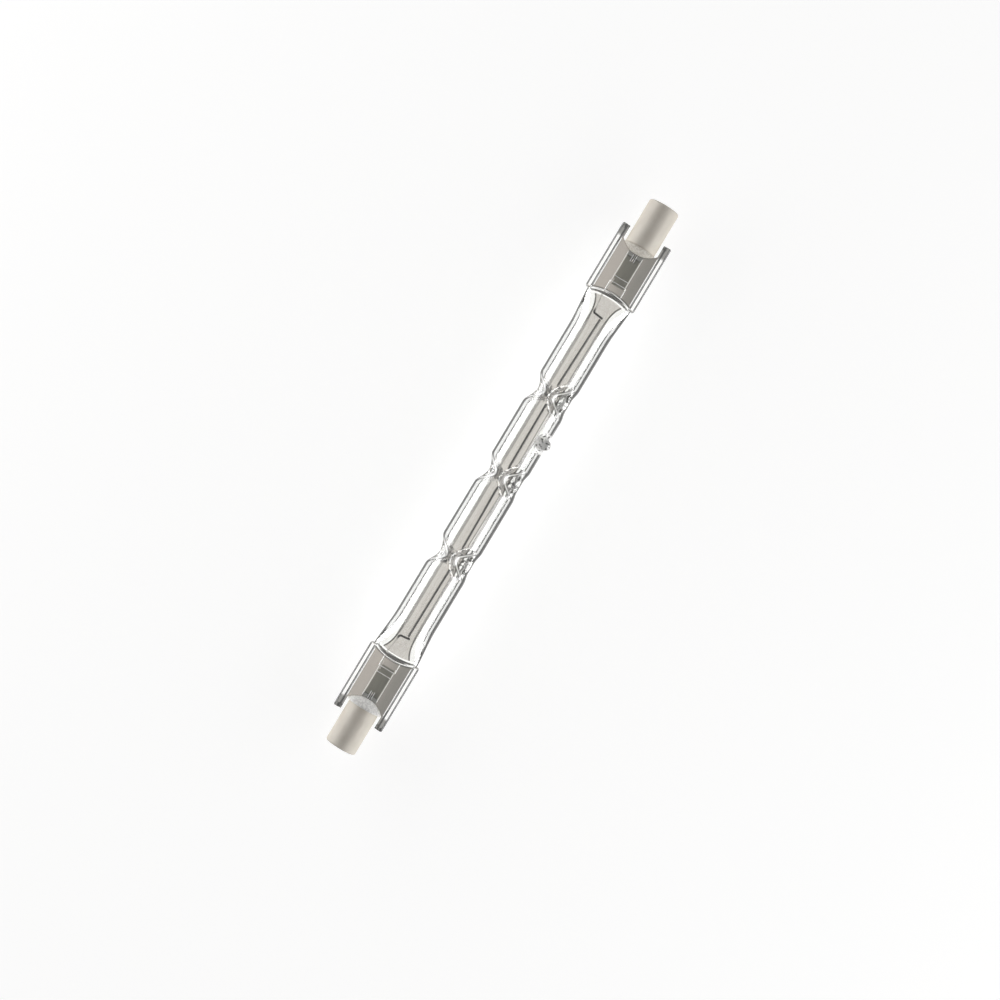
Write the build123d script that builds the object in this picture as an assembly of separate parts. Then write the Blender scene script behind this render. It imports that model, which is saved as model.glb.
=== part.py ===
from build123d import *
import math
import os

# Double-ended halogen lamp with a recessed contact at each end, in millimetres.
# The lamp lies along X with its tube on the ground, and Z is up. The flat press seals lie level.
# Everything is drawn about the lamp's axis and raised to its resting height at the end.

# Overall length, and the stretches that share out each half of it from the outer end
overall_length = 117.6
cap_standout = 6.4
seal_length = 13.7
flare_length = 7.7

# Quartz tube
tube_diameter = 8.3
tube_wall = 0.95

# Pinched stations, each with three dimples at 120 degrees that hold the coil near the axis
station_pitch = 17.6
station_half_length = 3.3
dimple_flat_half = 1.1
dimple_floor_radius = 1.7
dimple_lobe_inset = 0.35
dimple_narrowness = 2.2
throat_radius = 0.75
first_dimple_angle = 0.0

# Sealed exhaust tip, just off the middle of the cell beside the middle station
tip_offset = 0.3
tip_angle = 142.0
tip_base_radius = 2.2
tip_end_radius = 1.0
tip_height = 1.85
tip_bore_radius = 0.7
tip_bore_end_radius = 0.1
tip_bore_depth = 1.8

# Press seals. The flare reaches a little way into the seal, and the arched step is its edge.
web_thickness = 1.8
rail_width = 1.2
rail_height = 3.4
rail_rounding = 0.35
shoulder_chamfer = 0.6
shoulder_length = 1.1
flare_overlap = 1.2
flare_end_half_height = 1.3
step_arc_sag = 0.8
step_arc_offset = 1.0

# Notch in the outer end of each seal, with a prong on each side
notch_depth = 4.1
notch_arc_depth = 1.65
prong_width = 1.55

# Pad pressed over the weld between the inner lead and the foil
pad_offset = 1.2
pad_length = 2.0
pad_width = 3.4
pad_height = 0.16
pad_corner = 0.4

# Metal foils and leads. The inner lead's knee and corner are set back from the seal's start.
foil_width = 3.0
foil_thickness = 0.06
foil_offset = 2.7
foil_end_margin = 0.6
inner_lead_diameter = 0.4
inner_lead_weld_length = 1.1
inner_lead_root_side = 1.25
inner_lead_knee_setback = 0.3
inner_lead_knee_side = 1.62
inner_lead_corner_setback = 3.7
inner_lead_corner_side = 1.2
inner_lead_hook_slant = 0.25
inner_lead_hook_side = -0.8
inner_lead_bend = 0.35
inner_lead_knee_bend = 4.0
outer_lead_diameter = 0.6
outer_lead_weld_length = 0.8

# Coiled filament, as the plain rod that its coil fills
coil_diameter = 0.5
coil_bend = 120.0
coil_offset_left_end = -0.3
coil_offset_left_station = -0.5
coil_offset_middle_station = -0.15
coil_offset_right_station = 0.0
coil_offset_right_end = -0.5

# Ceramic caps
cap_diameter = 6.2
cap_edge_rounding = 0.35
cap_lead_hole_diameter = 1.6
recess_diameter = 4.0
recess_depth = 1.7
recess_chamfer = 0.2

# Contacts in the caps
contact_diameter = 3.2
contact_thickness = 0.6
contact_rounding = 0.15
contact_stem_diameter = 1.4
contact_stem_length = 2.3

# Cement between the caps and the seals. Its front stands out of the notch by a different amount at each end.
cement_gap = 0.26
cement_width = 0.45
cement_side_gap = 0.1
cement_rise_left = 1.85
cement_rise_right = 1.3

# Fits
glass_to_metal_clearance = 0.01
seat_clearance = 0.02

# Worked out from the sizes above: places along the lamp
half_length = overall_length / 2
seal_end = half_length - cap_standout
seal_start = seal_end - seal_length
tube_straight_half = seal_start - flare_length
station_centres = (-station_pitch, 0.0, station_pitch)
tip_position = station_pitch / 2 + tip_offset
flare_end_position = seal_start + flare_overlap
step_arc_middle = seal_start + step_arc_offset
pad_start = seal_start + pad_offset
notch_bottom = seal_end - notch_depth
foil_start = seal_start + foil_offset
foil_end = notch_bottom - foil_end_margin
outer_lead_start = foil_end - outer_lead_weld_length
lead_corner = seal_start - inner_lead_corner_setback
hook_end = lead_corner - inner_lead_hook_slant
contact_face = half_length - recess_depth

# Worked out from the sizes above: radii, widths and levels
tube_radius = tube_diameter / 2
bore_radius = tube_radius - tube_wall
lobe_radius = tube_radius - dimple_lobe_inset
tip_reach = tube_radius + tip_height
cap_radius = cap_diameter / 2
cement_radius = cap_radius + cement_width
notch_width = 2 * (cement_radius + cement_side_gap)
seal_width = notch_width + 2 * prong_width
rail_inner = seal_width / 2 - rail_width
flare_end_half_width = seal_width / 2 - shoulder_chamfer
foil_level = -(inner_lead_diameter / 2 + foil_thickness / 2 + glass_to_metal_clearance)
outer_lead_level = foil_level + foil_thickness / 2 + glass_to_metal_clearance + outer_lead_diameter / 2
notch_arc_radius = ((notch_width / 2) ** 2 + notch_arc_depth ** 2) / (2 * notch_arc_depth)
notch_arc_centre = notch_bottom + notch_arc_radius
dome_radius = notch_arc_radius - cement_gap
section_points = 24


def section(x, point_at):
    """A closed smooth outline across the lamp at x. point_at gives (y, z) at an angle from +Y."""
    angles = [2 * math.pi * i / section_points for i in range(section_points)]
    points = [(x, *point_at(angle)) for angle in angles]
    return Wire([Edge.make_spline(points, periodic=True)])


def round_section(x, radius):
    """A true circle across the lamp at x, which starts at +Y as the other sections do."""
    across = Plane(origin=(x, 0, 0), x_dir=(0, 1, 0), z_dir=(1, 0, 0))
    return Wire([Edge.make_circle(radius, across)])


def polar(radius_at):
    """A section given by its radius at each angle."""
    return lambda angle: (radius_at(angle) * math.cos(angle), radius_at(angle) * math.sin(angle))


def oval(half_width, half_height, squareness):
    """A section that runs from an ellipse, at a squareness of 2, towards a rounded box."""
    power = 2 / squareness

    def point_at(angle):
        across, up = math.cos(angle), math.sin(angle)
        y = half_width * math.copysign(abs(across) ** power, across)
        z = half_height * math.copysign(abs(up) ** power, up)
        return y, z

    return point_at


def pinched(full_radius, pressed_radius, floor_radius, share):
    """The round tube pressed in by three dimples, from share 0 (round) to 1 (fully pressed)."""

    def radius_at(angle):
        turned = angle - math.radians(first_dimple_angle)
        press = ((1 + math.cos(3 * turned)) / 2) ** dimple_narrowness
        pressed = pressed_radius - (pressed_radius - floor_radius) * press
        return full_radius + (pressed - full_radius) * share

    return polar(radius_at)


def station(centre, full_radius, pressed_radius, floor_radius):
    """One pinched station as a loft: round, pressed to the full depth, and round again."""
    ramp = station_half_length - dimple_flat_half
    steps = [1 / 3, 2 / 3, 1]
    shares = [step * step * (3 - 2 * step) for step in steps]
    offsets = [step * ramp - station_half_length for step in steps]
    rising = list(zip(offsets, shares))
    falling = [(-offset, share) for offset, share in reversed(rising)]
    sections = [
        section(centre + offset, pinched(full_radius, pressed_radius, floor_radius, share))
        for offset, share in rising + falling
    ]
    first = round_section(centre - station_half_length, full_radius)
    last = round_section(centre + station_half_length, full_radius)
    return Solid.make_loft([first, *sections, last])


def tube_body(full_radius, pressed_radius, floor_radius):
    """The tube, or its bore, from flare to flare, as straight lengths between pinched stations."""
    pieces = [station(c, full_radius, pressed_radius, floor_radius) for c in station_centres]
    edges = [-tube_straight_half]
    for centre in station_centres:
        edges += [centre - station_half_length, centre + station_half_length]
    edges.append(tube_straight_half)
    for start, end in zip(edges[0::2], edges[1::2]):
        pieces.append(rod_x(start, end, full_radius))
    return pieces[0].fuse(*pieces[1:])


def flare(inset):
    """The flattening end of the tube, or of its bore where inset is the wall."""
    radius = tube_radius - inset
    end_width = flare_end_half_width - inset
    end_height = flare_end_half_height - inset * 0.85
    end = flare_end_position - inset * 0.7
    length = end - tube_straight_half
    shares = [0.3, 0.65, 1]
    sections = [round_section(tube_straight_half, radius)]
    for share in shares:
        ease = share * share * (3 - 2 * share)
        half_width = radius + (end_width - radius) * ease
        half_height = radius + (end_height - radius) * ease
        place = tube_straight_half + length * share
        sections.append(section(place, oval(half_width, half_height, 2 + 0.5 * ease)))
    return Solid.make_loft(sections)


def block(x_range, y_range, z_range):
    """A box between three pairs of limits."""
    low = [r[0] for r in (x_range, y_range, z_range)]
    size = [r[1] - r[0] for r in (x_range, y_range, z_range)]
    return Pos(*low) * Box(*size, align=(Align.MIN, Align.MIN, Align.MIN))


def press_seal():
    """The right-hand seal: a web between two rails, with a notch in its end, before it joins the flare."""
    half_width = seal_width / 2
    rail_middle = half_width - rail_width / 2
    with BuildSketch(Plane.YZ.offset(seal_start)) as outline:
        Rectangle(seal_width - rail_width, web_thickness)
        with Locations((rail_middle, 0), (-rail_middle, 0)):
            RectangleRounded(rail_width, rail_height, rail_rounding)
    bar = extrude(outline.sketch, amount=seal_end - seal_start)
    shoulder = Polygon(
        (seal_start, half_width - shoulder_chamfer),
        (seal_start + shoulder_length, half_width),
        (seal_start, half_width),
        align=None,
    )
    shoulder_cut = extrude(shoulder, amount=rail_height, both=True)
    bar = bar - shoulder_cut - mirror(shoulder_cut, about=Plane.XZ)
    mouth = notch_bottom + notch_arc_depth
    with BuildSketch() as notch:
        with BuildLine():
            ThreePointArc((mouth, -notch_width / 2), (notch_bottom, 0), (mouth, notch_width / 2))
            Polyline(
                (mouth, notch_width / 2),
                (seal_end + 1, notch_width / 2),
                (seal_end + 1, -notch_width / 2),
                (mouth, -notch_width / 2),
            )
        make_face()
    bar = bar - extrude(notch.sketch, amount=rail_height, both=True)
    with BuildSketch(Plane.XY.offset(web_thickness / 2)) as pad:
        with Locations((pad_start + pad_length / 2, 0)):
            RectangleRounded(pad_length, pad_width, pad_corner)
    raised = extrude(pad.sketch, amount=pad_height)
    return bar + raised + mirror(raised, about=Plane.XY)


def press_jaws():
    """The space of the two jaws, which leaves the arched step at the seal's inner end."""
    corner = step_arc_middle - step_arc_sag
    with BuildSketch(Plane.XY.offset(web_thickness / 2)) as face:
        with BuildLine():
            ThreePointArc((corner, -rail_inner), (step_arc_middle, 0), (corner, rail_inner))
            Polyline(
                (corner, rail_inner),
                (seal_end, rail_inner),
                (seal_end, -rail_inner),
                (corner, -rail_inner),
            )
        make_face()
    upper = extrude(face.sketch, amount=tube_diameter)
    return upper + mirror(upper, about=Plane.XY)


def exhaust_tip(solid_part):
    """The sealed tip as a turned form on the radial line, or the pinhole left in it."""
    place = Plane(
        origin=(tip_position, 0, 0),
        x_dir=(1, 0, 0),
        z_dir=(0, math.cos(math.radians(tip_angle)), math.sin(math.radians(tip_angle))),
    )
    root = bore_radius + tube_wall / 2
    if solid_part:
        with BuildSketch(Plane.XZ) as profile:
            with BuildLine():
                side = Spline(
                    (tip_base_radius, root),
                    (tip_end_radius, tip_reach - tip_end_radius),
                    tangents=[(-0.4, 1), (0, 1)],
                )
                end = RadiusArc(side @ 1, (0, tip_reach), -tip_end_radius)
                Polyline(end @ 1, (0, root), side @ 0)
            make_face()
        turned = revolve(profile.sketch, Axis.Z)
    else:
        bottom = (Align.CENTER, Align.CENTER, Align.MIN)
        turned = Cone(tip_bore_radius, tip_bore_end_radius, tip_bore_depth, align=bottom)
        turned = Pos(0, 0, bore_radius - tube_wall / 2) * turned
    return place.location * turned


def lead_route(extra):
    """The inner lead's path in the level plane, its root moved out by extra."""
    points = [
        (foil_start + inner_lead_weld_length + extra, inner_lead_root_side),
        (seal_start - inner_lead_knee_setback, inner_lead_knee_side),
        (lead_corner, inner_lead_corner_side),
        (hook_end, inner_lead_hook_side),
    ]
    return FilletPolyline(*points, radius=(inner_lead_knee_bend, inner_lead_bend))


def wire_along(path, radius):
    """A round wire of one radius along a path."""
    start = Plane(origin=path @ 0, z_dir=path % 0)
    return sweep(start * Circle(radius), path=path)


def rod_x(start, end, radius, level=0.0):
    """A round rod along X between two places, at a height from the axis."""
    body = Cylinder(radius, end - start, align=(Align.CENTER, Align.CENTER, Align.MIN))
    return Pos(start, 0, level) * Rot(0, 90, 0) * body


def foil(clearance):
    """The thin foil in the seal, or its pocket in the quartz."""
    return block(
        (foil_start - clearance, foil_end + clearance),
        (-foil_width / 2 - clearance, foil_width / 2 + clearance),
        (foil_level - foil_thickness / 2 - clearance, foil_level + foil_thickness / 2 + clearance),
    )


def inner_lead(clearance):
    """The wire from the foil to the coil, or the passage that the quartz leaves for it."""
    return wire_along(lead_route(clearance), inner_lead_diameter / 2 + clearance)


def outer_lead(clearance):
    """The wire from the foil to the contact, or the passage that the quartz leaves for it."""
    end = contact_face - contact_thickness - contact_stem_length - seat_clearance
    radius = outer_lead_diameter / 2 + clearance
    return rod_x(outer_lead_start - clearance, end, radius, outer_lead_level)


def envelope():
    """Quartz tube, flares, seals and tip, blown and pressed as one piece."""
    outer = tube_body(tube_radius, lobe_radius, dimple_floor_radius)
    inner = tube_body(bore_radius, lobe_radius - tube_wall, throat_radius)
    right_end = (flare(0) - press_jaws()) + press_seal()
    right_end = right_end - flare(tube_wall)
    right_end = right_end - foil(glass_to_metal_clearance)
    right_end = right_end - inner_lead(glass_to_metal_clearance)
    right_end = right_end - outer_lead(glass_to_metal_clearance)
    middle = (Part() + outer + exhaust_tip(True)) - inner - exhaust_tip(False)
    return middle + right_end + mirror(right_end, about=Plane.YZ)


def filament():
    """The coil's outer form along the lamp, as it wanders between the stations."""
    end = hook_end - inner_lead_diameter / 2 - seat_clearance
    path = FilletPolyline(
        (-end, coil_offset_left_end),
        (-station_pitch, coil_offset_left_station),
        (0, coil_offset_middle_station),
        (station_pitch, coil_offset_right_station),
        (end, coil_offset_right_end),
        radius=coil_bend,
    )
    return wire_along(path, coil_diameter / 2)


def cap():
    """The ceramic cap: a barrel with a domed root, a recess for the contact and a hole for the lead."""
    dome_tip = notch_arc_centre - dome_radius
    rod = rod_x(dome_tip, half_length, cap_radius)
    rim = rod.edges().filter_by(GeomType.CIRCLE).sort_by(Axis.X)[-1]
    rod = fillet(rim, cap_edge_rounding)
    dome = Pos(notch_arc_centre, 0, 0) * Sphere(dome_radius)
    barrel = rod & (dome + rod_x(notch_arc_centre, half_length, dome_radius))
    recess = rod_x(contact_face, half_length, recess_diameter / 2)
    pocket_floor = contact_face - contact_thickness - seat_clearance
    pocket = rod_x(pocket_floor, contact_face, contact_diameter / 2 + seat_clearance)
    hole = rod_x(dome_tip, contact_face, cap_lead_hole_diameter / 2)
    body = barrel - recess - pocket - hole
    mouth = body.edges().filter_by(GeomType.CIRCLE).group_by(Axis.X)[-1].sort_by(SortBy.RADIUS)[0]
    return chamfer(mouth, recess_chamfer)


def contact():
    """The contact button, with a rounded rim and a stem that takes the outer lead."""
    head = rod_x(contact_face - contact_thickness, contact_face, contact_diameter / 2)
    rim = head.edges().filter_by(GeomType.CIRCLE).sort_by(Axis.X)[-1]
    head = fillet(rim, contact_rounding)
    stem_start = contact_face - contact_thickness - contact_stem_length
    stem = rod_x(stem_start, contact_face - contact_thickness, contact_stem_diameter / 2)
    return head + stem


def cement(rise):
    """The cement between the notch and the cap's domed root, up to a flat front around the cap."""
    front = notch_bottom + rise
    middle = Pos(notch_arc_centre, 0, 0)
    bed = middle * Sphere(notch_arc_radius - seat_clearance)
    fill = bed & rod_x(notch_bottom, front, cement_radius)
    cap_space = middle * Sphere(dome_radius + seat_clearance)
    cap_space = cap_space & rod_x(notch_bottom, half_length, cap_radius + seat_clearance)
    hole = rod_x(notch_bottom, half_length, cap_lead_hole_diameter / 2)
    return fill - cap_space - hole


def as_one(shape):
    """The shape as a single solid, raised so that the tube rests on the ground."""
    solids = shape.solids()
    assert len(solids) == 1, f"{len(solids)} solids where one was meant"
    return Pos(0, 0, tube_radius) * solids[0]


def write(name, shape):
    export_step(as_one(shape), f"parts/{name}.step")


os.makedirs("parts", exist_ok=True)

write("envelope", envelope())
write("filament", filament())

right_end_pieces = {
    "inner_lead": inner_lead(0),
    "foil": foil(0),
    "outer_lead": outer_lead(0),
    "ceramic_cap": cap(),
    "contact": contact(),
}
for name, piece in right_end_pieces.items():
    write(f"{name}_right", piece)
    write(f"{name}_left", mirror(piece, about=Plane.YZ))
write("cement_right", cement(cement_rise_right))
write("cement_left", mirror(cement(cement_rise_left), about=Plane.YZ))
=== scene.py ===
import math

import bpy
from mathutils import Matrix, Vector, noise


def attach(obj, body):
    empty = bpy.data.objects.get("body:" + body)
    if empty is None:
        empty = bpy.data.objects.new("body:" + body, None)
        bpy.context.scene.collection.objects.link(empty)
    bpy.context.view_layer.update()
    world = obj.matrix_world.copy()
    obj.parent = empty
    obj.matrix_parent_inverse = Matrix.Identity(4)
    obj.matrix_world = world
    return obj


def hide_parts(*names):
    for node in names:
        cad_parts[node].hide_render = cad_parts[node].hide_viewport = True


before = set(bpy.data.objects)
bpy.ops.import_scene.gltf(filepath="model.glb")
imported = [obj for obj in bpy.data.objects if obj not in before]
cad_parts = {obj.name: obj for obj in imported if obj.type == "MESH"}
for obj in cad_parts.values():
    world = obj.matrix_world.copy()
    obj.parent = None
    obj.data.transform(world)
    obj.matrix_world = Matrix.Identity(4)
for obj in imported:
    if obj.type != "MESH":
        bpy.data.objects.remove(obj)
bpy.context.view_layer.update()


# Foils
# A strip of molybdenum foil lies flat in each press seal, where it carries the current through the quartz.
# It is thin enough to give with the quartz, and the leads are welded to its two ends.
mm = 0.001


def start_material(name):
    """A new material with no nodes yet, ready for add_node and finish_material."""
    material = bpy.data.materials.new(name)
    material.use_nodes = True
    material.node_tree.nodes.clear()
    return material


def add_node(material, kind, links=None, **settings):
    """Adds a node. A link's value is a socket to join, or a number or colour for the input itself."""
    node = material.node_tree.nodes.new(kind)
    for key, value in settings.items():
        setattr(node, key, value)
    for key, value in (links or {}).items():
        if isinstance(value, bpy.types.NodeSocket):
            material.node_tree.links.new(value, node.inputs[key])
        else:
            node.inputs[key].default_value = value
    return node


def finish_material(material, shader):
    """Joins a shader to the material's surface."""
    add_node(material, "ShaderNodeOutputMaterial", {"Surface": shader.outputs[0]})
    return material


def calculate(material, operation, first, second=0.0):
    """The result of one Math node."""
    return add_node(material, "ShaderNodeMath", {0: first, 1: second}, operation=operation).outputs[0]


def blend_colours(material, share, low_colour, high_colour):
    """A colour that goes from the first to the second as share goes from 0 to 1."""
    mix = add_node(material, "ShaderNodeMix", data_type="RGBA")
    for key, value in {"Factor_Float": share, "A_Color": low_colour, "B_Color": high_colour}.items():
        socket = next(s for s in mix.inputs if s.identifier == key)
        if isinstance(value, bpy.types.NodeSocket):
            material.node_tree.links.new(value, socket)
        else:
            socket.default_value = value
    return next(s for s in mix.outputs if s.identifier == "Result_Color")


def rise(material, value, start, end):
    """A share that rises from 0 at start to 1 at end."""
    links = {"Value": value, "From Min": start, "From Max": end}
    return add_node(material, "ShaderNodeMapRange", links, interpolation_type="SMOOTHSTEP").outputs[0]


def dress(piece, material):
    """Puts one material on the whole of a piece."""
    piece.data.materials.clear()
    piece.data.materials.append(material)


foil_grey = (0.19, 0.195, 0.175, 1)
foil_grey_light = (0.27, 0.275, 0.25, 1)
# The lighter band along each long edge of the foil is a painted highlight.
foil_edge_painted_highlight = (0.72, 0.71, 0.67, 1)
foil_half_width = 1.5 * mm
foil_edge_band = 0.16 * mm

foil_metal = start_material("molybdenum_foil")
place = add_node(foil_metal, "ShaderNodeTexCoord").outputs["Object"]
apart = add_node(foil_metal, "ShaderNodeSeparateXYZ", {0: place})
side = calculate(foil_metal, "ABSOLUTE", apart.outputs["Y"])
edge_highlight_share = rise(foil_metal, side, foil_half_width - foil_edge_band, foil_half_width - foil_edge_band * 0.5)
stretch = add_node(foil_metal, "ShaderNodeMapping", {0: place, "Scale": (400, 6000, 400)})
rolled = add_node(
    foil_metal, "ShaderNodeTexNoise", {"Vector": stretch.outputs[0], "Scale": 1.0, "Detail": 4.0}
)
body_grey = blend_colours(foil_metal, rolled.outputs["Fac"], foil_grey, foil_grey_light)
foil_colour = blend_colours(foil_metal, edge_highlight_share, body_grey, foil_edge_painted_highlight)
foil_bump = add_node(
    foil_metal, "ShaderNodeBump", {"Strength": 0.2, "Distance": 0.00002, "Height": rolled.outputs[0]}
)
foil_shader = add_node(
    foil_metal,
    "ShaderNodeBsdfPrincipled",
    {"Base Color": foil_colour, "Metallic": 0.6, "Roughness": 0.45, "Normal": foil_bump.outputs[0]},
)
finish_material(foil_metal, foil_shader)
for end in ("right", "left"):
    dress(bpy.data.objects[f"foil_{end}"], foil_metal)


# Leads
# The inner leads are tungsten wire, welded on the foil and bent into a hook that takes the coil's end.
# The outer leads are molybdenum wire, which runs from the foil through the cap to the contact.
wire_grey = (0.30, 0.295, 0.285, 1)
wire_grey_light = (0.62, 0.61, 0.59, 1)
burnt_tungsten = (0.02, 0.02, 0.02, 1)
hook_place = 35.2 * mm
# The outer lead's colour is painted light: a highlight down its middle and painted shade along its sides.
outer_lead_painted_shade = (0.03, 0.03, 0.03, 1)
outer_lead_painted_highlight = (0.85, 0.85, 0.83, 1)
outer_lead_gleam_half = 0.13 * mm


def wire_material(name, dark, light, roughness, burnt_end=0):
    """Drawn wire, with fine marks along it, and burnt dark nearer the lamp's middle than burnt_end."""
    material = start_material(name)
    where = add_node(material, "ShaderNodeTexCoord").outputs["Object"]
    along = add_node(material, "ShaderNodeMapping", {0: where, "Scale": (600, 9000, 9000)})
    marks = add_node(
        material, "ShaderNodeTexNoise", {"Vector": along.outputs[0], "Scale": 1.0, "Detail": 3.0}
    )
    colour = blend_colours(material, marks.outputs["Fac"], dark, light)
    if burnt_end:
        where_apart = add_node(material, "ShaderNodeSeparateXYZ", {0: where})
        from_middle = calculate(material, "ABSOLUTE", where_apart.outputs["X"])
        burnt_share = rise(material, from_middle, burnt_end + mm, burnt_end)
        colour = blend_colours(material, burnt_share, colour, burnt_tungsten)
    bump = add_node(
        material, "ShaderNodeBump", {"Strength": 0.3, "Distance": 0.00001, "Height": marks.outputs[0]}
    )
    links = {"Base Color": colour, "Metallic": 0.9, "Roughness": roughness, "Normal": bump.outputs[0]}
    return finish_material(material, add_node(material, "ShaderNodeBsdfPrincipled", links))


inner_lead_metal = wire_material("inner_lead_tungsten", wire_grey, wire_grey_light, 0.35, hook_place)
outer_lead_metal = start_material("outer_lead_wire")
place = add_node(outer_lead_metal, "ShaderNodeTexCoord").outputs["Object"]
apart = add_node(outer_lead_metal, "ShaderNodeSeparateXYZ", {0: place})
side = calculate(outer_lead_metal, "ABSOLUTE", apart.outputs["Y"])
gleam = rise(outer_lead_metal, side, outer_lead_gleam_half, outer_lead_gleam_half * 0.6)
lead_highlight_and_shade = blend_colours(outer_lead_metal, gleam, outer_lead_painted_shade, outer_lead_painted_highlight)
lead_shader = add_node(
    outer_lead_metal,
    "ShaderNodeBsdfPrincipled",
    {"Base Color": lead_highlight_and_shade, "Metallic": 0.8, "Roughness": 0.3},
)
finish_material(outer_lead_metal, lead_shader)
for end in ("right", "left"):
    dress(bpy.data.objects[f"inner_lead_{end}"], inner_lead_metal)
    dress(bpy.data.objects[f"outer_lead_{end}"], outer_lead_metal)


# Filament
# One length of fine tungsten wire, wound into a close coil that runs from hook to hook.
# It wanders a little between the stations, where the quartz keeps it near the axis.
axis_height = 4.15 * mm
coil_radius = 0.25
coil_wire_radius = 0.055
coil_pitch = 0.165
coil_end = 34.5
coil_steps = 12
coil_wire_sides = 6
coil_route = ((-34.5, -0.3), (-17.6, -0.5), (0.0, -0.15), (17.6, 0.0), (34.5, -0.5))


def coil_side(x):
    """How far the coil's middle lies from the axis toward +Y, in millimetres."""
    for (start, first), (end, second) in zip(coil_route, coil_route[1:]):
        if x <= end:
            break
    return first + (second - first) * (x - start) / (end - start)


def apply_modifier(piece, kind, name, **settings):
    """Adds a modifier to a piece with these settings and applies it."""
    bpy.context.view_layer.objects.active = piece
    modifier = piece.modifiers.new(name, kind)
    for key, value in settings.items():
        setattr(modifier, key, value)
    bpy.ops.object.modifier_apply(modifier=name)


bpy.ops.object.select_all(action="DESELECT")
bpy.ops.mesh.primitive_circle_add(
    vertices=coil_wire_sides,
    radius=coil_wire_radius,
    location=(-coil_end, 0, coil_radius - coil_wire_radius),
    rotation=(math.pi / 2, 0, 0),
)
coil = bpy.context.object
coil.name = "coiled_filament"
bpy.ops.object.transform_apply(location=True, rotation=True, scale=True)
apply_modifier(
    coil,
    "SCREW",
    "wind",
    axis="X",
    screw_offset=coil_pitch,
    iterations=round(2 * coil_end / coil_pitch),
    steps=coil_steps,
    render_steps=coil_steps,
    use_normal_calculate=True,
)
for vertex in coil.data.vertices:
    x, y, z = vertex.co
    vertex.co = (x * mm, (y + coil_side(x)) * mm, z * mm + axis_height)
bpy.ops.object.mode_set(mode="EDIT")
bpy.ops.mesh.select_all(action="SELECT")
bpy.ops.mesh.normals_make_consistent(inside=False)
bpy.ops.object.mode_set(mode="OBJECT")
bpy.ops.object.shade_smooth()
coil_dark = (0.018, 0.018, 0.018, 1)
coil_light = (0.05, 0.05, 0.048, 1)
dress(coil, wire_material("coil_tungsten", coil_dark, coil_light, 0.4))
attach(coil, "root")
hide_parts("filament")


# Envelope
# One tube of clear quartz, blown and then pinched at three stations, each by three pins from outside.
# Both ends are pressed flat on the foils while hot, and the pumping tube leaves a sealed tip.
tube_radius = 4.15
tube_wall = 0.95
tube_straight_half = 31.0
station_places = (-17.6, 0.0, 17.6)
station_half_length = 3.3
dimple_half_angle = math.radians(44)
dimple_bluntness = 1.4
dimple_floor_share = 0.3
dimple_floor_radius = 1.7
lobe_radius = 3.8
lobe_steepness = 1.5
flare_end = 39.7
flare_arc_depth = 0.05
flare_end_half_width = 4.6
flare_end_half_height = 1.25
flare_squareness = 0.5
gas_end_setback = 0.5
gas_height_setback = 0.85
around = 144
pressed_ring_spacing = 0.22
flare_ring_spacing = 0.3


def ease(share):
    """A smooth step from 0 to 1."""
    share = min(max(share, 0), 1)
    return share * share * (3 - 2 * share)


def skin_point(x, angle, inset):
    """Where the outer skin, or a skin at an inset from it, lies across the lamp at x, in millimetres."""
    radius = tube_radius - inset
    if abs(x) <= tube_straight_half:
        for station in station_places:
            along = abs(x - station) / station_half_length
            if along < 1:
                turned = (angle + math.pi / 3) % (2 * math.pi / 3) - math.pi / 3
                across = abs(turned) / dimple_half_angle
                far = (along ** dimple_bluntness + across ** dimple_bluntness) ** (1 / dimple_bluntness)
                radius -= (tube_radius - lobe_radius) * ease((1 - along) * lobe_steepness)
                radius -= (lobe_radius - dimple_floor_radius) * ease((1 - far) / (1 - dimple_floor_share))
        return radius * math.cos(angle), radius * math.sin(angle)
    end = flare_end - inset * gas_end_setback
    share = ease((abs(x) - tube_straight_half) / (end - tube_straight_half))
    half_width = radius + (flare_end_half_width - inset - radius) * share
    half_height = radius + (flare_end_half_height - inset * gas_height_setback - radius) * share
    power = 2 / (2 + flare_squareness * share)
    across = math.copysign(abs(math.cos(angle)) ** power, math.cos(angle))
    up = math.copysign(abs(math.sin(angle)) ** power, math.sin(angle))
    return half_width * across, half_height * up


def evenly(start, end, spacing):
    """Places from start to just before end, about this far apart."""
    count = round((end - start) / spacing)
    return [start + (end - start) * i / count for i in range(count)]


def ring_places(end):
    """Where the rings of the tube lie: close together in the stations and the flares."""
    places = evenly(-end, -tube_straight_half, flare_ring_spacing) + [-tube_straight_half]
    for station in station_places:
        start = station - station_half_length
        places += evenly(start, station + station_half_length, pressed_ring_spacing)
        places.append(station + station_half_length)
    return places + evenly(tube_straight_half, end, flare_ring_spacing) + [end]


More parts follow.
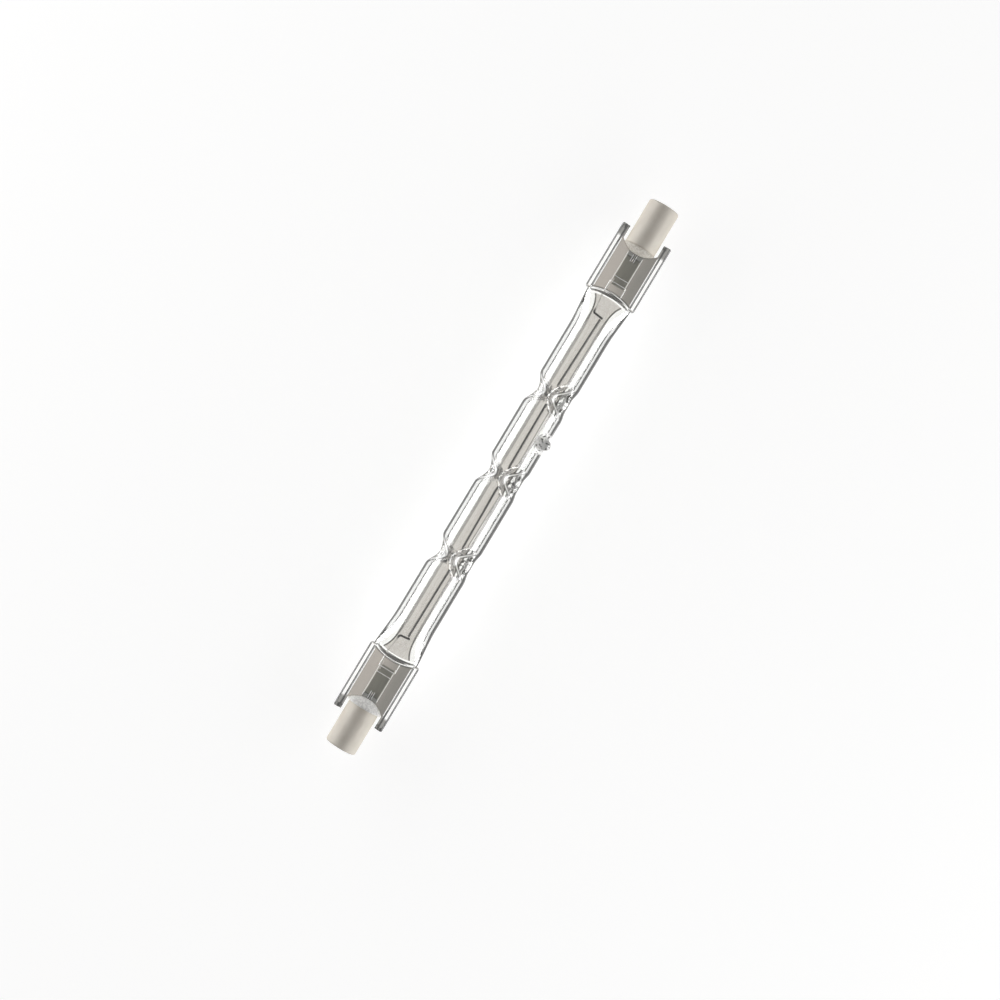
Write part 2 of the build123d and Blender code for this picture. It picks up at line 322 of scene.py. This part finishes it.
def tube_skin(name, inset):
    """A closed tube from flare to flare, drawn out of a cylinder cut into rings."""
    end = flare_end - inset * gas_end_setback
    places = ring_places(end)
    bpy.ops.object.select_all(action="DESELECT")
    bpy.ops.mesh.primitive_cylinder_add(
        vertices=around, radius=1, depth=2 * end, end_fill_type="NGON", rotation=(0, math.pi / 2, 0)
    )
    piece = bpy.context.object
    piece.name = name
    bpy.ops.object.transform_apply(location=True, rotation=True, scale=True)
    bpy.ops.object.mode_set(mode="EDIT")
    bpy.ops.mesh.select_mode(type="EDGE")
    bpy.ops.mesh.select_all(action="DESELECT")
    bpy.ops.object.mode_set(mode="OBJECT")
    for edge in piece.data.edges:
        first, second = (piece.data.vertices[i].co.x for i in edge.vertices)
        edge.select = abs(first - second) > end
    bpy.ops.object.mode_set(mode="EDIT")
    bpy.ops.mesh.subdivide(number_cuts=len(places) - 2)
    bpy.ops.object.mode_set(mode="OBJECT")
    for vertex in piece.data.vertices:
        x = places[round((vertex.co.x + end) / (2 * end) * (len(places) - 1))]
        y, z = skin_point(x, math.atan2(vertex.co.z, vertex.co.y), inset)
        flared = max(abs(x) - tube_straight_half, 0) / (end - tube_straight_half)
        x -= math.copysign(flare_arc_depth * y * y * flared ** 3, x)
        vertex.co = (x * mm, y * mm, z * mm + axis_height)
    return piece


def bar(name, low, high, rounding=0.0, segments=3):
    """A box between two corners in millimetres about the lamp's axis, with rounded edges."""
    low, high = Vector(low), Vector(high)
    bpy.ops.object.select_all(action="DESELECT")
    bpy.ops.mesh.primitive_cube_add(size=1, location=(low + high) / 2)
    piece = bpy.context.object
    piece.name = name
    piece.scale = high - low
    bpy.ops.object.transform_apply(location=True, rotation=True, scale=True)
    if rounding:
        apply_modifier(piece, "BEVEL", "round", width=rounding, segments=segments, limit_method="NONE")
    for vertex in piece.data.vertices:
        vertex.co = vertex.co * mm + Vector((0, 0, axis_height))
    return piece


def combine(piece, tool, operation):
    """Joins the tool to a piece or cuts it out, and deletes the tool."""
    apply_modifier(piece, "BOOLEAN", "combine", object=tool, operation=operation, solver="EXACT")
    bpy.data.objects.remove(tool)


seal_start = 38.7
seal_end = 52.4
seal_half_width = 5.2
web_half = 0.9
rail_width = 1.2
rail_half_height = 1.7
rail_rounding = 0.32
web_into_rail = 0.3
notch_bottom = 48.3
notch_half_width = 3.65
notch_arc_depth = 1.65
notch_arc_radius = (notch_half_width ** 2 + notch_arc_depth ** 2) / (2 * notch_arc_depth)
notch_arc_centre = notch_bottom + notch_arc_radius
pad_start = 39.9
pad_length = 2.0
pad_half_width = 1.7
pad_height = 0.16
pad_rounding = 0.14
pad_root = 0.2
cutter_reach = 5.5


def press_seal():
    """The right-hand seal: the web between two rails with its notch, and a pad on each face."""
    rail_inner = seal_half_width - rail_width
    web_side = rail_inner + web_into_rail
    web = bar("seal", (seal_start, -web_side, -web_half), (seal_end, web_side, web_half))
    for side in (-1, 1):
        inner, outer = sorted((side * rail_inner, side * seal_half_width))
        low, high = (seal_start, inner, -rail_half_height), (seal_end, outer, rail_half_height)
        rail = bar("rail", low, high, rail_rounding)
        combine(web, rail, "UNION")
    bpy.ops.object.select_all(action="DESELECT")
    bpy.ops.mesh.primitive_cylinder_add(
        vertices=128,
        radius=notch_arc_radius * mm,
        depth=2 * cutter_reach * mm,
        location=(notch_arc_centre * mm, 0, axis_height),
    )
    arc = bpy.context.object
    bpy.ops.object.transform_apply(location=True, rotation=True, scale=True)
    low = (notch_bottom - 1, -notch_half_width, -cutter_reach - 1)
    high = (seal_end + 1, notch_half_width, cutter_reach + 1)
    mouth = bar("mouth", low, high)
    combine(arc, mouth, "INTERSECT")
    combine(web, arc, "DIFFERENCE")
    for side in (-1, 1):
        low, high = sorted((side * (web_half - pad_root), side * (web_half + pad_height)))
        pad_end = pad_start + pad_length
        pad = bar("pad", (pad_start, -pad_half_width, low), (pad_end, pad_half_width, high), pad_rounding)
        combine(web, pad, "UNION")
    return web


envelope = tube_skin("quartz_envelope", 0)
for end in (1, -1):
    seal = press_seal()
    if end < 0:
        seal.data.transform(Matrix.Scale(-1, 4, (1, 0, 0)))
        seal.data.flip_normals()
    combine(envelope, seal, "UNION")

tip_place = 9.1
tip_turn = math.radians(142)
tip_root = 3.2
tip_root_radius = 2.15
tip_neck = 4.95
tip_neck_radius = 1.0
tip_reach = 5.95
tip_sides = 32
tip_lump = 0.06
tip_root_depth = 0.4
lump_stretch = 1.6
lump_density = 2.0
lump_slice = 3.0

bpy.ops.object.select_all(action="DESELECT")
bpy.ops.mesh.primitive_uv_sphere_add(segments=tip_sides, ring_count=tip_sides // 2, radius=1)
tip = bpy.context.object
tip_lie = Matrix.Rotation(tip_turn - math.pi / 2, 4, "X")
for vertex in tip.data.vertices:
    up = vertex.co.z
    turn = math.atan2(vertex.co.y, vertex.co.x)
    height = tip_root + (tip_reach - tip_root if up > 0 else tip_root_depth) * up
    spot = Vector((turn, height * lump_stretch, lump_slice))
    lump = 1 + tip_lump * noise.noise(spot * lump_density)
    taper = ease((tip_neck - height) / (tip_neck - tip_root))
    radius = (tip_neck_radius + (tip_root_radius - tip_neck_radius) * taper) * lump
    if height > tip_neck:
        radius *= math.sqrt(max(1 - ((height - tip_neck) / (tip_reach - tip_neck)) ** 2, 0))
    if up <= 0:
        radius *= math.sqrt(max(1 - up ** 2, 0))
    spot = tip_lie @ Vector((radius * math.cos(turn), radius * math.sin(turn), height))
    vertex.co = (spot + Vector((tip_place, 0, 0))) * mm + Vector((0, 0, axis_height))
combine(envelope, tip, "UNION")

gas_space = tube_skin("gas_space", tube_wall)
gas_space.data.flip_normals()
bpy.ops.object.select_all(action="DESELECT")
gas_space.select_set(True)
envelope.select_set(True)
bpy.context.view_layer.objects.active = envelope
bpy.ops.object.join()
bpy.ops.object.shade_smooth_by_angle(angle=math.radians(32))

quartz = start_material("quartz")
clear_tint = (0.98, 0.98, 0.97, 1)
place = add_node(quartz, "ShaderNodeTexCoord").outputs["Object"]
apart = add_node(quartz, "ShaderNodeSeparateXYZ", {0: place})
across = apart.outputs["Y"]
along = calculate(quartz, "ABSOLUTE", apart.outputs["X"])
side = calculate(quartz, "ABSOLUTE", across)
normal = add_node(quartz, "ShaderNodeNewGeometry").outputs["Normal"]
normal_up = add_node(quartz, "ShaderNodeSeparateXYZ", {0: normal}).outputs["Z"]
on_a_face = rise(quartz, calculate(quartz, "ABSOLUTE", normal_up), 0.1, 0.3)
on_the_top = rise(quartz, normal_up, 0.3, 0.45)
line_core = 0.6
soft_step = 0.05


def climb(value, start, end):
    """A share that goes from 0 to 1 between two places in millimetres."""
    return rise(quartz, value, start * mm, end * mm)


def all_of(*shares):
    """The product of some shares, which is 1 only where all of them are."""
    product = shares[0]
    for share in shares[1:]:
        product = calculate(quartz, "MULTIPLY", product, share)
    return product


def any_of(*shares):
    """The largest of some shares."""
    largest = shares[0]
    for share in shares[1:]:
        largest = calculate(quartz, "MAXIMUM", largest, share)
    return largest


def other_than(share):
    """1 where a share is 0, and 0 where it is 1."""
    return calculate(quartz, "SUBTRACT", 1.0, share)


def line_at(value, middle, half_width):
    """A share that is 1 on a fine line, where value is near a middle in millimetres."""
    off = calculate(quartz, "ABSOLUTE", calculate(quartz, "SUBTRACT", value, middle * mm))
    return climb(off, half_width, half_width * line_core)


def between(value, low, high):
    """A share that is 1 between two places in millimetres, with a soft step at each."""
    return all_of(
        climb(value, low - soft_step, low + soft_step),
        climb(value, high + soft_step, high - soft_step),
    )


# Painted reflection: a grey band along the tube's middle, which widens toward the seals, stands for the dim
# room seen through the glass, edged by a painted dark line, with clear flanks
painted_room_band = (0.70, 0.685, 0.66, 1)
band_edge_painted_shade = (0.28, 0.275, 0.26, 1)
flank_tint = (0.93, 0.93, 0.92, 1)
band_half_width = 1.75
band_spread = 2.2
band_spread_start = 32.0
band_spread_end = 39.5
band_spread_power = 4.0
streak_strength = 0.16

toward_seal = add_node(
    quartz,
    "ShaderNodeMapRange",
    {"Value": along, "From Min": band_spread_start * mm, "From Max": band_spread_end * mm},
)
spread = calculate(quartz, "POWER", toward_seal.outputs[0], band_spread_power)
band_edge = calculate(quartz, "ADD", all_of(spread, band_spread * mm), band_half_width * mm)
from_band_edge = calculate(quartz, "SUBTRACT", side, band_edge)
drawn = add_node(quartz, "ShaderNodeMapping", {0: place, "Scale": (30, 2600, 2600)})
streaks = add_node(
    quartz, "ShaderNodeTexNoise", {"Vector": drawn.outputs[0], "Scale": 1.0, "Detail": 3.0}
)
streak_share = all_of(rise(quartz, streaks.outputs["Fac"], 0.35, 0.65), streak_strength)
band_reflection_colour = blend_colours(quartz, streak_share, painted_room_band, clear_tint)
band_reflection_colour = blend_colours(quartz, line_at(from_band_edge, -0.12, 0.16), band_reflection_colour, band_edge_painted_shade)
tint_and_painted_light = blend_colours(quartz, climb(from_band_edge, -0.04, 0.06), band_reflection_colour, flank_tint)

# Painted shade: the seal's web is darker, most of all toward -Y, for the dim room seen through it, with clear
# rails and painted dark prongs
web_painted_shade_plus_y = (0.40, 0.37, 0.335, 1)
web_painted_shade_minus_y = (0.22, 0.21, 0.19, 1)
prong_painted_shade = (0.30, 0.295, 0.28, 1)
web_edge = 39.5
web_shading_half = 3.2
rail_edge = 3.9
prong_dark_start = 49.7

bow = all_of(across, across, flare_arc_depth / mm)
along_bow = calculate(quartz, "ADD", along, bow)
web_share = climb(along_bow, web_edge, web_edge + 0.15)
web_side = climb(across, -web_shading_half, web_shading_half)
web_painted_shade = blend_colours(quartz, web_side, web_painted_shade_minus_y, web_painted_shade_plus_y)
tint_and_painted_light = blend_colours(quartz, web_share, tint_and_painted_light, web_painted_shade)
rail_share = all_of(climb(side, rail_edge, rail_edge + 0.1), climb(along, 38.8, 39.0))
tint_and_painted_light = blend_colours(quartz, rail_share, tint_and_painted_light, clear_tint)
prong_share = climb(along, prong_dark_start, prong_dark_start + 0.6)
tint_and_painted_light = blend_colours(quartz, prong_share, tint_and_painted_light, prong_painted_shade)

# Painted shade: dark outlines on the steep parts, along the rails and in the arched step, heavier toward -Y
outline_painted_shade = (0.04, 0.04, 0.036, 1)
outline_start = 0.47
outline_full = 0.62
outline_extra_minus_y = 0.08
step_dark_lines = ((39.34, 0.16), (40.02, 0.12))
step_dark_strength = 0.7
rail_outer_edge = 4.84
rail_inner_line = (4.2, 0.17)

facing = add_node(quartz, "ShaderNodeLayerWeight", {"Blend": 0.5}).outputs["Facing"]
heavier = all_of(climb(across, 1.0, -1.0), outline_extra_minus_y)
outline_share = rise(quartz, calculate(quartz, "ADD", facing, heavier), outline_start, outline_full)
rail_lines = any_of(climb(side, rail_outer_edge, rail_outer_edge + 0.1), line_at(side, *rail_inner_line))
rail_lines = all_of(rail_lines, on_a_face, rail_share)
step_dark = any_of(*(line_at(along_bow, *line) for line in step_dark_lines))
step_dark = all_of(step_dark, climb(side, 4.1, 4.0), on_a_face, step_dark_strength)
outline_share = any_of(outline_share, rail_lines, step_dark)

# The stations and the exhaust tip are rippled, with painted dark specks for their sparkle and a painted
# highlight whitening the tip, and keep no outline where the glass is thick
painted_dark_marks = (0.10, 0.10, 0.095, 1)
painted_highlight_white = (0.96, 0.955, 0.94, 1)
tip_middle = (9.1 * mm, -3.5 * mm, 6.7 * mm)
tip_stretch = (1 / (2.1 * mm), 1 / (1.75 * mm), 1 / (2.6 * mm))
tip_whiteness = 0.85
station_calm = 0.6
station_half_pitch = station_places[-1] / 2
outer_station_end = 21.0

grit = add_node(quartz, "ShaderNodeTexNoise", {"Vector": place, "Scale": 1500.0, "Detail": 2.0}).outputs[0]
dots = add_node(quartz, "ShaderNodeTexNoise", {"Vector": place, "Scale": 2300.0, "Detail": 0.0}).outputs[0]
from_first = calculate(quartz, "ADD", apart.outputs["X"], station_places[-1] * mm)
from_station = calculate(quartz, "PINGPONG", from_first, station_half_pitch * mm)
pinch_share = all_of(climb(from_station, 1.9, 1.2), climb(along, outer_station_end, outer_station_end - 1.0))
near_station = all_of(
    climb(from_station, 3.0, 2.8),
    climb(along, outer_station_end + 0.5, outer_station_end - 0.5),
)
tip_offset = add_node(
    quartz, "ShaderNodeVectorMath", {0: place, 1: tip_middle}, operation="SUBTRACT"
).outputs[0]


def distance_from_tip(stretch):
    """How far a point lies from the tip's middle, where 1 is the tip's own reach."""
    scaled = add_node(
        quartz, "ShaderNodeVectorMath", {0: tip_offset, 1: stretch}, operation="MULTIPLY"
    ).outputs[0]
    return add_node(quartz, "ShaderNodeVectorMath", {0: scaled}, operation="LENGTH").outputs["Value"]


from_tip = distance_from_tip(tip_stretch)
from_tip_in_plan = distance_from_tip((tip_stretch[0], tip_stretch[1], 0))
tip_share = rise(quartz, from_tip, 1.1, 0.95)
tip_dots = all_of(tip_share, rise(quartz, from_tip, 0.4, 0.6), rise(quartz, dots, 0.58, 0.61))
sparkle_speck_share = any_of(all_of(pinch_share, rise(quartz, grit, 0.58, 0.62)), tip_dots)
# Painted dark specks on the prong ends stand for their shade.
prong_dark_specks = all_of(climb(along, 51.4, 52.0), rise(quartz, grit, 0.50, 0.56))
calm_share = all_of(near_station, climb(side, 2.7, 2.4), station_calm)
outline_share = all_of(outline_share, rise(quartz, from_tip_in_plan, 0.9, 1.05), other_than(calm_share))
tint_and_painted_light = blend_colours(quartz, tip_share, tint_and_painted_light, painted_highlight_white)
tint_and_painted_light = blend_colours(quartz, outline_share, tint_and_painted_light, outline_painted_shade)
tint_and_painted_light = blend_colours(quartz, any_of(sparkle_speck_share, prong_dark_specks), tint_and_painted_light, painted_dark_marks)

# A painted highlight ribbon with a painted dark line on each side runs round each dimple
ribbon_reach = 3.2
ribbon_sweep = 2.6
ribbon_waist_plus_y = 1.5
ribbon_waist_minus_y = 0.6
ribbon_half_width = 0.26
ribbon_line_place = 0.34
ribbon_line_half_width = 0.15
ribbon_line_strength = 0.8

sweep = all_of(climb(from_station, 0.0, ribbon_reach), ribbon_sweep * mm)
from_plus = calculate(
    quartz, "SUBTRACT", calculate(quartz, "SUBTRACT", across, sweep), ribbon_waist_plus_y * mm
)
from_minus = calculate(quartz, "ADD", calculate(quartz, "ADD", across, sweep), ribbon_waist_minus_y * mm)
ribbons = (from_plus, from_minus)
ribbon_highlight = any_of(*(line_at(ribbon, 0.0, ribbon_half_width) for ribbon in ribbons))
ribbon_highlight = all_of(ribbon_highlight, near_station, on_the_top)
ribbon_painted_shade = any_of(
    *(
        line_at(ribbon, way * ribbon_line_place, ribbon_line_half_width)
        for ribbon in ribbons
        for way in (1, -1)
    )
)
ribbon_painted_shade = all_of(ribbon_painted_shade, near_station, on_the_top, ribbon_line_strength)
tint_and_painted_light = blend_colours(quartz, ribbon_painted_shade, tint_and_painted_light, painted_dark_marks)

# Fine lines in the seal: round the pad, at the weld, beside the foil and the outer lead, and on the rails.
# The white ones are painted highlights, and the clear ones leave the glass untinted
foil_gap_tint = (0.165, 0.165, 0.155, 1)
step_clear_lines = ((39.74, 0.28), (38.9, 0.26))
foil_gap_start = 47.35
foil_line_strength = 0.5

foil_gap = all_of(between(along, foil_gap_start, 48.6), climb(side, 1.55, 1.45))
tint_and_painted_light = blend_colours(quartz, foil_gap, tint_and_painted_light, foil_gap_tint)
step_lines = any_of(*(line_at(along_bow, *line) for line in step_clear_lines))
step_lines = all_of(step_lines, climb(side, 4.3, 4.2))
foil_lines = all_of(line_at(side, 1.55, 0.09), between(along, 41.9, 48.2), foil_line_strength)
pad_sides = all_of(line_at(side, 1.68, 0.13), between(along, 39.9, 41.9))
rail_gleam = all_of(line_at(side, 3.92, 0.1), between(along, 39.6, 49.7))
pad_end = all_of(line_at(along, 41.8, 0.13), climb(side, 1.75, 1.7))
weld_line = all_of(line_at(along, 43.0, 0.12), climb(side, 1.5, 1.4))
lead_gleams = all_of(line_at(side, 0.36, 0.12), between(along, 46.7, 48.2))
painted_highlight_share = all_of(any_of(pad_end, weld_line, ribbon_highlight, lead_gleams), on_a_face)
tint_and_painted_light = blend_colours(quartz, painted_highlight_share, tint_and_painted_light, painted_highlight_white)
clear_lines = all_of(any_of(step_lines, pad_sides, foil_lines, rail_gleam), on_a_face)
tint_and_painted_light = blend_colours(quartz, clear_lines, tint_and_painted_light, clear_tint)

# The glass itself, which lets most of a shadow ray through
opaque_strength = 0.9
web_grain = 0.03
opaque = any_of(
    outline_share, painted_highlight_share, sparkle_speck_share, prong_dark_specks, ribbon_painted_shade, all_of(tip_share, tip_whiteness)
)
opaque = all_of(opaque, other_than(clear_lines), opaque_strength)
height = all_of(any_of(pinch_share, tip_share, all_of(web_share, web_grain)), grit)
hammered = add_node(quartz, "ShaderNodeBump", {"Strength": 0.5, "Distance": 0.00025, "Height": height})
glass = add_node(
    quartz,
    "ShaderNodeBsdfPrincipled",
    {
        "Base Color": tint_and_painted_light,
        "Roughness": 0.0,
        "IOR": 1.458,
        "Transmission Weight": other_than(opaque),
        "Normal": hammered.outputs[0],
    },
)
light_path = add_node(quartz, "ShaderNodeLightPath")
clear = add_node(quartz, "ShaderNodeBsdfTransparent", {"Color": (0.92, 0.92, 0.91, 1)})
shadow_mix = add_node(
    quartz,
    "ShaderNodeMixShader",
    {0: light_path.outputs["Is Shadow Ray"], 1: glass.outputs[0], 2: clear.outputs[0]},
)
finish_material(quartz, shadow_mix)
dress(envelope, quartz)
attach(envelope, "root")
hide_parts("envelope")


# Cement
# A sodium silicate cement fills the gap between the cap's domed root and the notch, and sets white and rough.
# It stands out round the cap by a different amount at each end.
cement_white = (0.90, 0.89, 0.865, 1)
cement_grey = (0.68, 0.67, 0.65, 1)
smeared_pale = (0.78, 0.745, 0.68, 1)
smeared_cream = (0.62, 0.575, 0.50, 1)


def cement_material(name, dark, light):
    """Set cement, mottled and rough."""
    material = start_material(name)
    where = add_node(material, "ShaderNodeTexCoord").outputs["Object"]
    mottle = add_node(material, "ShaderNodeTexNoise", {"Vector": where, "Scale": 2600.0, "Detail": 5.0})
    colour = blend_colours(material, rise(material, mottle.outputs["Fac"], 0.42, 0.62), dark, light)
    grit = add_node(
        material, "ShaderNodeBump", {"Strength": 0.6, "Distance": 0.00012, "Height": mottle.outputs["Fac"]}
    )
    links = {"Base Color": colour, "Roughness": 0.85, "Normal": grit.outputs[0]}
    return finish_material(material, add_node(material, "ShaderNodeBsdfPrincipled", links))


dress(bpy.data.objects["cement_right"], cement_material("cement_smeared", smeared_cream, smeared_pale))
dress(bpy.data.objects["cement_left"], cement_material("cement_white", cement_grey, cement_white))


# Ceramic caps
# Each is a barrel of unglazed steatite, pressed and fired, with a domed root that sits in the notch.
# It keeps the hot seal away from the holder and shields the contact at the bottom of its recess.
ceramic_cream = (0.60, 0.54, 0.455, 1)
ceramic_pale = (0.73, 0.685, 0.60, 1)
ceramic = start_material("ceramic")
place = add_node(ceramic, "ShaderNodeTexCoord").outputs["Object"]
clouds = add_node(ceramic, "ShaderNodeTexNoise", {"Vector": place, "Scale": 450.0, "Detail": 6.0})
grain = add_node(ceramic, "ShaderNodeTexNoise", {"Vector": place, "Scale": 5200.0, "Detail": 3.0})
ceramic_colour = blend_colours(ceramic, clouds.outputs["Fac"], ceramic_cream, ceramic_pale)
grain_bump = add_node(
    ceramic, "ShaderNodeBump", {"Strength": 0.25, "Distance": 0.00006, "Height": grain.outputs["Fac"]}
)
ceramic_shader = add_node(
    ceramic,
    "ShaderNodeBsdfPrincipled",
    {"Base Color": ceramic_colour, "Roughness": 0.72, "Normal": grain_bump.outputs[0]},
)
finish_material(ceramic, ceramic_shader)
for end in ("right", "left"):
    dress(bpy.data.objects[f"ceramic_cap_{end}"], ceramic)


# Contacts
# A steel button at the bottom of each recess, turned and plated, with a stem that takes the outer lead.
# The holder's sprung pin presses on it.
contact_bright = (0.62, 0.61, 0.58, 1)
contact_dull = (0.45, 0.44, 0.42, 1)
contact_steel = start_material("contact_steel")
place = add_node(contact_steel, "ShaderNodeTexCoord").outputs["Object"]
turning = add_node(
    contact_steel, "ShaderNodeMapping", {0: place, "Location": (0, 0, -axis_height)}, vector_type="POINT"
)
rings = add_node(
    contact_steel,
    "ShaderNodeTexWave",
    {"Vector": turning.outputs[0], "Scale": 2500.0, "Distortion": 0.6},
    wave_type="RINGS",
    rings_direction="X",
)
contact_colour = blend_colours(contact_steel, rings.outputs["Fac"], contact_dull, contact_bright)
ring_bump = add_node(
    contact_steel, "ShaderNodeBump", {"Strength": 0.3, "Distance": 0.00001, "Height": rings.outputs["Fac"]}
)
contact_shader = add_node(
    contact_steel,
    "ShaderNodeBsdfPrincipled",
    {"Base Color": contact_colour, "Metallic": 1.0, "Roughness": 0.32, "Normal": ring_bump.outputs[0]},
)
finish_material(contact_steel, contact_shader)
for end in ("right", "left"):
    dress(bpy.data.objects[f"contact_{end}"], contact_steel)


# Camera
# It looks straight down on the lamp, turned so that the lamp leans as in the photograph.
pixels_per_mm = 5.355
picture_side = 1000
lamp_lean = math.radians(31.02)
lamp_middle_px = (502.4, 477.0)
camera_distance = 410 * mm

camera_turn = lamp_lean - math.radians(90)
picture_right = Vector((math.cos(camera_turn), math.sin(camera_turn), 0))
picture_up = Vector((-math.sin(camera_turn), math.cos(camera_turn), 0))
lamp_right = (lamp_middle_px[0] - picture_side / 2) / pixels_per_mm * mm
lamp_up = (picture_side / 2 - lamp_middle_px[1]) / pixels_per_mm * mm
camera_data = bpy.data.cameras.new("camera")
camera_data.sensor_width = 36
camera_data.lens = camera_data.sensor_width * camera_distance / (picture_side / pixels_per_mm * mm)
camera_data.clip_start = 10 * mm
camera = bpy.data.objects.new("camera", camera_data)
camera.location = -picture_right * lamp_right - picture_up * lamp_up
camera.location.z = axis_height + camera_distance
camera.rotation_euler = (0, 0, camera_turn)
bpy.context.scene.collection.objects.link(camera)
bpy.context.scene.camera = camera
bpy.context.scene.view_settings.view_transform = "Standard"


# Floor
# A white sheet under the lamp, which keeps the lamp's soft shadow.
floor_size = 2.4
floor_glow = 0.86
floor_whitening = (0.12, 0.35)
floor_albedo = (0.27, 0.27, 0.265, 1)
floor_white = start_material("floor_white")
light_path = add_node(floor_white, "ShaderNodeLightPath")
seen = light_path.outputs["Is Camera Ray"]
for kind in ("Is Glossy Ray", "Is Transmission Ray"):
    seen = calculate(floor_white, "MAXIMUM", seen, light_path.outputs[kind])
paper = add_node(floor_white, "ShaderNodeBsdfDiffuse", {"Color": floor_albedo})
spot = add_node(floor_white, "ShaderNodeTexCoord").outputs["Object"]
away = add_node(floor_white, "ShaderNodeVectorMath", {0: spot}, operation="LENGTH").outputs["Value"]
whiter = calculate(floor_white, "MULTIPLY", rise(floor_white, away, *floor_whitening), 1.0 - floor_glow)
glow_strength = calculate(floor_white, "ADD", whiter, floor_glow)
glow = add_node(floor_white, "ShaderNodeEmission", {"Strength": glow_strength})
bright = add_node(floor_white, "ShaderNodeAddShader", {0: paper.outputs[0], 1: glow.outputs[0]})
floor_shader = add_node(
    floor_white, "ShaderNodeMixShader", {0: seen, 1: paper.outputs[0], 2: bright.outputs[0]}
)
finish_material(floor_white, floor_shader)
bpy.ops.object.select_all(action="DESELECT")
bpy.ops.mesh.primitive_plane_add(size=floor_size, location=(0, 0, -0.02 * mm))
floor = bpy.context.object
floor.name = "floor"
bpy.ops.object.transform_apply(location=True, rotation=True, scale=True)
dress(floor, floor_white)


# Light
# A dim even room, white where it is seen, and a long soft box low on each side of the lamp.
# Behind each soft box stands a taller card that shows only as a gleam in the glass.
room_strength = 0.2
light_length = 0.9
soft_box_distance = 0.35
soft_box_height = 0.165
soft_box_radiance = 4.5
gleam_card_distance = 0.36
gleam_card_height = 0.32
gleam_card_radiance = 9.0
room = bpy.data.worlds.new("room")
room.use_nodes = True
room_nodes = room.node_tree.nodes
dim = room_nodes["Background"]
dim.inputs["Strength"].default_value = room_strength
white = room_nodes.new("ShaderNodeBackground")
white.inputs["Color"].default_value = (1, 1, 1, 1)
white.inputs["Strength"].default_value = 1
room_path = room_nodes.new("ShaderNodeLightPath")
either = room_nodes.new("ShaderNodeMath")
either.operation = "MAXIMUM"
either_too = room_nodes.new("ShaderNodeMath")
either_too.operation = "MAXIMUM"
room_mix = room_nodes.new("ShaderNodeMixShader")
for start, end in (
    (room_path.outputs["Is Camera Ray"], either.inputs[0]),
    (room_path.outputs["Is Glossy Ray"], either.inputs[1]),
    (either.outputs[0], either_too.inputs[0]),
    (room_path.outputs["Is Transmission Ray"], either_too.inputs[1]),
    (either_too.outputs[0], room_mix.inputs[0]),
    (dim.outputs[0], room_mix.inputs[1]),
    (white.outputs[0], room_mix.inputs[2]),
    (room_mix.outputs[0], room_nodes["World Output"].inputs["Surface"]),
):
    room.node_tree.links.new(start, end)
bpy.context.scene.world = room


def upright_light(name, side, distance, height, radiance):
    """An upright lamp that stands on the floor at one side and faces the object."""
    data = bpy.data.lights.new(name, "AREA")
    data.shape = "RECTANGLE"
    data.size = light_length
    data.size_y = height
    data.energy = radiance * math.pi * light_length * height
    box = bpy.data.objects.new(name, data)
    box.location = (0, side * distance, height / 2)
    box.rotation_euler = (math.radians(-90 * side), 0, 0)
    box.visible_camera = False
    box.visible_transmission = False
    bpy.context.scene.collection.objects.link(box)
    return box


for side, name in ((1, "plus_y"), (-1, "minus_y")):
    upright_light(f"soft_box_{name}", side, soft_box_distance, soft_box_height, soft_box_radiance)
    card = upright_light(
        f"gleam_card_{name}", side, gleam_card_distance, gleam_card_height, gleam_card_radiance
    )
    card.visible_diffuse = False
